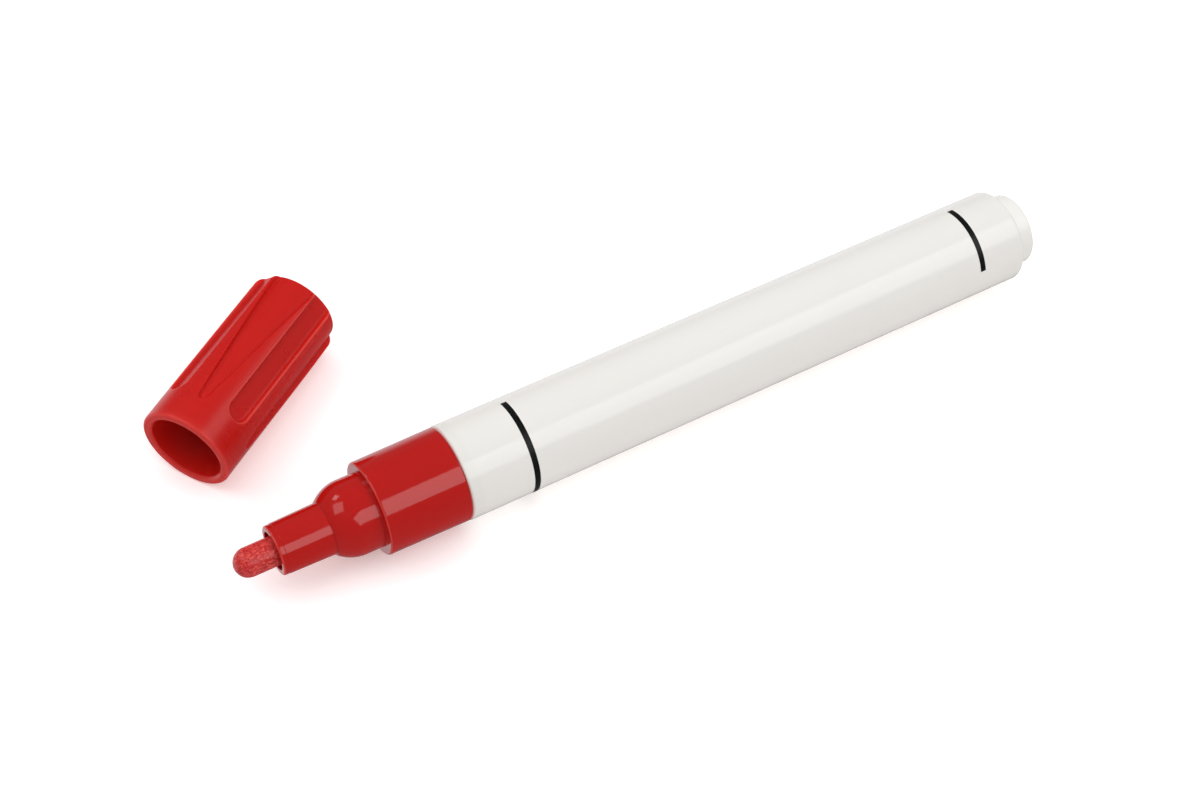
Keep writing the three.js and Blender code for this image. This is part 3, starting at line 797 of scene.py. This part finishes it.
def inside(recess, across, depth):
    """How far a point lies inside the outline. Outside, it is below zero."""
    ahead = depth - recess.start - recess.tip
    slope = widening(recess)
    behind = (recess.tip + slope * ahead - np.abs(across)) / math.hypot(1, slope)
    return np.where(ahead < 0, recess.tip - np.hypot(across, ahead), behind)


def sunk(recess, across, depth):
    """How far the surface lies below the cap's round."""
    inset = inside(recess, across, depth)
    sinking = (DEPTH_AT_END - recess.depth) / (CAP_LENGTH - recess.start)
    floor = recess.depth + sinking * (depth - recess.start)
    if recess.flat:
        floor = CAP_RADIUS - (CAP_RADIUS - floor) / np.cos(across / CAP_RADIUS)
    on_edge = np.clip(inset + EDGE_ROUND, 0, EDGE_ROUND)
    on_foot = np.clip(WALL_LEAN + FOOT_ROUND - inset, 0, FOOT_ROUND)
    edge = EDGE_ROUND - np.sqrt(EDGE_ROUND**2 - on_edge**2)
    upright = EDGE_ROUND + (floor - EDGE_ROUND - FOOT_ROUND) * inset / WALL_LEAN
    foot = floor - FOOT_ROUND + np.sqrt(FOOT_ROUND**2 - on_foot**2)
    return np.where(inset < 0, edge, np.where(inset < WALL_LEAN, upright, foot))


print("tapered recess grows to", round(2 * TAPERED.end, 2), "mm wide")

# %% [markdown]
# The grid's columns follow the outlines, so a wall is always crossed by the same few columns, close
# together, however the recess widens. Where a recess hasn't started, those columns lie on one line and
# are merged. Rows are close where the half circles start, so that they come out round.

# %% Columns that follow the outlines
WALL_TURN = np.linspace(0, math.pi / 2, 6)
EDGE_INSETS = EDGE_ROUND * (np.sin(WALL_TURN) - 1)
FOOT_INSETS = WALL_LEAN + FOOT_ROUND * (1 - np.cos(WALL_TURN))
INSETS = np.concatenate([EDGE_INSETS, FOOT_INSETS])
HALF_SECTOR = HALF_PITCH * CAP_RADIUS
TAPERED_FLOOR, STRAIGHT_FLOOR, LAND = 8, 5, 18
GRIP_TURN = math.radians(1.25)


def across_at(depth):
    """Where the columns stand between the middle of a tapered recess and that of a straight one."""
    tapered = half_width(TAPERED, depth, INSETS[::-1])
    straight = HALF_SECTOR - half_width(STRAIGHT, depth, INSETS)
    fin = (half_width(TAPERED, depth, 0.0) + HALF_SECTOR - half_width(STRAIGHT, depth, 0.0)) / 2
    if tapered[-1] > straight[0]:
        tapered, straight = np.minimum(tapered, fin), np.maximum(straight, fin)
    tapered_floor = np.linspace(0, tapered[0], TAPERED_FLOOR, endpoint=False)
    land = np.linspace(tapered[-1], straight[0], LAND + 2)[1:-1]
    straight_floor = np.linspace(straight[-1], HALF_SECTOR, STRAIGHT_FLOOR + 1)[1:]
    return np.concatenate([tapered_floor, tapered, land, straight, straight_floor])


def round_the_cap(across):
    """Angles of all columns, from one half sector's columns."""
    half = across / CAP_RADIUS
    sector = np.concatenate([half, 2 * HALF_PITCH - half[-2:0:-1]])
    return np.concatenate([GRIP_TURN + 2 * HALF_PITCH * k + sector for k in range(SECTORS)])


print("columns round the cap:", len(round_the_cap(across_at(0.0))))

# %% Rows of the cap
CAP_BORE, MOUTH_ROUND, LEAD_IN = 5.95, 0.45, 0.35
POCKET_RADIUS, POCKET_MOUTH, CAP_FLOOR = 5.25, 8.0, 29.6
END_ROUND, END_STEPS, END_BLEND = 2.1, 30, 0.3
MOUTH_ROWS, GRIP_ROWS_FROM, GRIP_ROW_STEP, TIP_ROWS = [1.6, 2.8, 4.0], 7.8, 0.9, 14

inner_rows = rounded(
    [
        (0, CAP_FLOOR, 0),
        (POCKET_RADIUS, CAP_FLOOR, 0.3),
        (POCKET_RADIUS, POCKET_MOUTH, 0),
        (CAP_BORE, POCKET_MOUTH, 0.1),
        (CAP_BORE, LEAD_IN, 0.15),
        (CAP_BORE + LEAD_IN, 0, 0.1),
        (CAP_RADIUS, 0, MOUTH_ROUND),
        (CAP_RADIUS, MOUTH_ROUND + HOLD, 0),
    ],
    closed=False,
)
quarter = np.linspace(0, math.pi / 2, TIP_ROWS)
depths = MOUTH_ROWS + list(np.arange(GRIP_ROWS_FROM, CAP_LENGTH - END_ROUND, GRIP_ROW_STEP))
for recess in (TAPERED, STRAIGHT):
    depths += list(recess.start + INSETS)
    depths += list(recess.start + recess.tip * (1 - np.cos(quarter)))
outer_rows = [(CAP_RADIUS, depth) for depth in sorted(set(np.round(depths, 2)))]
end_turn = np.linspace(0, math.pi / 2, END_STEPS)
end_rows = [
    (CAP_RADIUS - END_ROUND * (1 - math.cos(t)), CAP_LENGTH - END_ROUND * (1 - math.sin(t)))
    for t in end_turn
]
end_rows += [(CAP_RADIUS - END_ROUND - HOLD, CAP_LENGTH), (0, CAP_LENGTH)]
print("rows:", len(inner_rows), "inside,", len(outer_rows), "outside,", len(end_rows), "at the end")

# %% [markdown]
# Each outer row is now lowered into the recesses. Past the last straight row the closed end rounds over,
# and a recess's floor runs out through it, with a soft edge where the two meet. The painted highlight goes
# only on the mouth's rim and the straight recesses' top edges, and not on the closed end.

# %% Cap shell
# How strong the painted highlight is at the mouth's rim and at the straight recesses' top edges.
MOUTH_HIGHLIGHT, GRIP_EDGE_HIGHLIGHT = 0.45, 0.7


def all_round(half):
    """One half sector's values, mirrored and repeated round the cap."""
    return np.tile(np.concatenate([half, half[-2:0:-1]]), SECTORS)


def cap_row(radius, depth, is_outside):
    """A row's points round the cap, lowered into the recesses if it is on the outside."""
    across = across_at(depth if is_outside else 0.0)
    angle = round_the_cap(across)
    if not is_outside:
        return points(cap, angle, radius, depth)
    lowered = np.maximum(sunk(TAPERED, across, depth), sunk(STRAIGHT, HALF_SECTOR - across, depth))
    floor = CAP_RADIUS - lowered
    blend = END_BLEND * np.minimum(lowered / TAPERED.depth, 1) + MERGE
    soft = np.maximum(blend - np.abs(radius - floor), 0) ** 2 / (4 * blend)
    half = np.minimum(radius, floor) - np.where(radius < CAP_RADIUS, soft, 0)
    return points(cap, angle, all_round(half), depth)


def row_highlight(radius, depth, is_outside):
    """How strongly the edge highlight is painted along a row: at the mouth's rim, and at the straight
    recesses' top edges.
    """
    rim_corners = [(CAP_RADIUS, 0), (CAP_BORE + LEAD_IN, 0)]
    rim = MOUTH_HIGHLIGHT * near(np.array([[radius, depth]]), rim_corners, MOUTH_ROUND)
    across = across_at(depth if is_outside else 0.0)
    from_edge = np.abs(inside(STRAIGHT, HALF_SECTOR - across, depth) + EDGE_ROUND / 2)
    on_side = is_outside and radius > CAP_RADIUS - STRAIGHT.depth
    edge = GRIP_EDGE_HIGHLIGHT * faded(from_edge, EDGE_ROUND / 2) * on_side
    return all_round(np.maximum(rim, edge))


rows = [cap_row(radius, depth, False) for radius, depth in inner_rows]
rows += [cap_row(radius, depth, True) for radius, depth in outer_rows + end_rows]
shell = skin(np.array(rows), closed=False)
painted_highlight = [row_highlight(radius, depth, False) for radius, depth in inner_rows]
painted_highlight += [row_highlight(radius, depth, True) for radius, depth in outer_rows + end_rows]
piece("cap_body", shell, cap_red, "cap", "cap_red", "cap_shell", painted_highlight=painted_highlight)

# %% [markdown]
# ## Inner seal: soft polyethylene
# A thin cup inside the cap closes over the nose tube so that the nib stays wet. It is natural
# polyethylene, and only its rim can be seen, deep inside the mouth.

# %% Inner seal
seal_white, tree, shader, metres = finish_of("polyethylene, natural, moulded", {"IOR": 1.5})
tree.links.new(drifting(tree, metres, ("#dedcd2", "#e6e4dc"), patch=4), shader.inputs["Base Color"])
handled(tree, shader, metres, gloss=(0.35, 0.48), patch=4)
textured(tree, shader, metres, size=0.6, height=0.004)

SEAL_BORE, SEAL_RADIUS, SEAL_MOUTH, SEAL_FLOOR, SEAL_BACK = 4.15, 5.15, 8.1, 28.5, 29.5
seal_profile = rounded(
    [
        (0, SEAL_FLOOR, 0),
        (SEAL_BORE, SEAL_FLOOR, 0.4),
        (SEAL_BORE, SEAL_MOUTH, 0.3),
        (SEAL_RADIUS, SEAL_MOUTH, 0.3),
        (SEAL_RADIUS, SEAL_BACK, 0.3),
        (0, SEAL_BACK, 0),
    ],
    closed=False,
)
piece("seal_cup", turned(cap, seal_profile, False), seal_white, "cap", "valve_plastic", "cap_inner_seal")

# %% [markdown]
# ## White table
# The marker was photographed on an overexposed white table, so only a faint shadow is left close to it.
# The table is matt white laminate. A little glow in its shader stands for the overexposure: it lifts the
# soft outer part of each shadow to white and leaves the dark line where things touch. Such a table would
# be far too bright in the gloss of the plastic, so it is left out of reflections, and the lower half of
# the room stands in for it there.

# %% Table
TABLE_SIZE, TABLE_GLOW = 8.0, 0.32

laminate, tree, shader, metres = finish_of(
    "laminate, matt white",
    {"IOR": 1.5, "Roughness": 0.6, "Emission Color": linear("#fff6f3"), "Emission Strength": TABLE_GLOW},
)
tree.links.new(drifting(tree, metres, ("#f9f9fa", "#fbfbfb"), patch=60), shader.inputs["Base Color"])
mesh = bpy.data.meshes.new("table")
half = TABLE_SIZE / 2
mesh.from_pydata([(-half, -half, 0), (half, -half, 0), (half, half, 0), (-half, half, 0)], [], [(0, 1, 2, 3)])
mesh.materials.append(laminate)
table = bpy.data.objects.new("table", mesh)
scene.collection.objects.link(table)
table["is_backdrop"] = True
table.visible_glossy = False
print("table:", TABLE_SIZE, "m wide")

# %% [markdown]
# ## Studio light
# The glossy collar and dome show what lit the marker. One long softbox stood to the right behind the
# camera, a smaller one to the left, and a small lamp beyond the marker. They are placed by compass and
# height as seen from the marker, with north beyond it, and given by radiance, which is what a mirror
# shows. A broad panel high above, leaning a little beyond the marker, brings the rest of the light. It
# isn't seen in reflections, as the room above was dark.

# %% Lamps
Lamp = namedtuple("Lamp", "compass elevation distance width height radiance mirrored")
LAMPS = {
    "long_softbox": Lamp(146, 47, 1.2, 1.38, 0.70, 1.7, True),
    "left_softbox": Lamp(-68, 56, 1.2, 0.62, 0.54, 1.4, True),
    "small_lamp": Lamp(-25, 40, 1.2, 0.27, 0.27, 2.6, True),
    "overhead_panel": Lamp(-15, 76, 1.6, 2.6, 2.6, 1.24, False),
}


def hang(name, lamp):
    """A rectangular lamp that faces the marker. Its power follows from its size and radiance."""
    compass, elevation = math.radians(lamp.compass), math.radians(lamp.elevation)
    level = math.cos(elevation)
    towards = Vector((math.sin(compass) * level, math.cos(compass) * level, math.sin(elevation)))
    light = bpy.data.lights.new(name, "AREA")
    light.shape, light.size, light.size_y = "RECTANGLE", lamp.width, lamp.height
    light.energy = lamp.radiance * math.pi * lamp.width * lamp.height
    hung = bpy.data.objects.new(name, light)
    hung.location = towards * lamp.distance
    hung.rotation_euler = towards.to_track_quat("Z", "Y").to_euler()
    hung.visible_glossy = lamp.mirrored
    scene.collection.objects.link(hung)
    print(f"{name}: {light.energy:.1f} W")


for name, lamp in LAMPS.items():
    hang(name, lamp)

# %% [markdown]
# The room is dim and even. Its lower half, on the far side, is bright instead: that is where the gloss
# would mirror the table. It goes by the direction in the room alone, so it stays put from every side.

# %% Room
ROOM_LIGHT, TABLE_MIRRORED = 0.2, 0.85
FULLY_BELOW = -0.3
BEYOND_FROM, FULLY_BEYOND = 0.15, 0.5

room = bpy.data.worlds.new("dim room")
room.use_nodes = True
tree = room.node_tree
around = add(tree, "ShaderNodeTexCoord").outputs["Generated"]
direction = add(tree, "ShaderNodeSeparateXYZ", {"Vector": around})
below = add(
    tree, "ShaderNodeMapRange", {"Value": direction.outputs["Z"], "From Min": 0.0, "From Max": FULLY_BELOW}
).outputs[0]
yonder = add(
    tree,
    "ShaderNodeMapRange",
    {"Value": direction.outputs["Y"], "From Min": BEYOND_FROM, "From Max": FULLY_BEYOND},
).outputs[0]
far_table = add(tree, "ShaderNodeMath", {0: below, 1: yonder}, operation="MULTIPLY").outputs[0]
level = add(
    tree, "ShaderNodeMapRange", {"Value": far_table, "To Min": ROOM_LIGHT, "To Max": TABLE_MIRRORED}
).outputs[0]
backdrop = tree.nodes["Background"]
backdrop.inputs["Color"].default_value = linear("#fbfbff")
tree.links.new(level, backdrop.inputs["Strength"])
scene.world = room
scene.view_settings.view_transform = "Standard"
print("room light:", ROOM_LIGHT)

# %% [markdown]
# ## Camera
# The photograph was taken from above the nib's side with a short telephoto lens, held slightly tilted.
# The camera stands where it was found to have stood, measured from the barrel's lip.

# %% Camera
CAMERA_HEIGHT = 279.44
CAMERA_FROM_LIP = (-87.378, -156.632, CAMERA_HEIGHT - BARREL_RADIUS)
CAMERA_AZIMUTH, CAMERA_ELEVATION, CAMERA_ROLL = -35.7345, 54.2545, 6.7566
LENS, SENSOR = 66.37, 36.0
NEAREST, FARTHEST = 0.01, 20.0

azimuth, elevation = math.radians(CAMERA_AZIMUTH), math.radians(CAMERA_ELEVATION)
back = Vector(
    (
        math.sin(azimuth) * math.cos(elevation),
        -math.cos(azimuth) * math.cos(elevation),
        math.sin(elevation),
    )
)
camera = bpy.data.objects.new("camera", bpy.data.cameras.new("camera"))
camera.data.lens, camera.data.sensor_width = LENS, SENSOR
camera.data.clip_start, camera.data.clip_end = NEAREST, FARTHEST
aim = back.to_track_quat("Z", "Y").to_matrix() @ Matrix.Rotation(math.radians(CAMERA_ROLL), 3, "Z")
camera.rotation_euler = aim.to_euler()
camera.location = Vector(lip) + Vector(CAMERA_FROM_LIP) * MM
scene.collection.objects.link(camera)
scene.camera = camera
print("camera at, mm:", [round(c / MM, 1) for c in camera.location])

# %% [markdown]
# ## Size
# The looks are meant to stay inside the design, so both boxes are printed side by side.

# %% Boxes
visual_box = [list(corner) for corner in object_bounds()]
for name, box in (("CAD", cad_box), ("visual", visual_box)):
    print(name, "box, mm:", [[round(c / MM, 2) for c in corner] for corner in box])
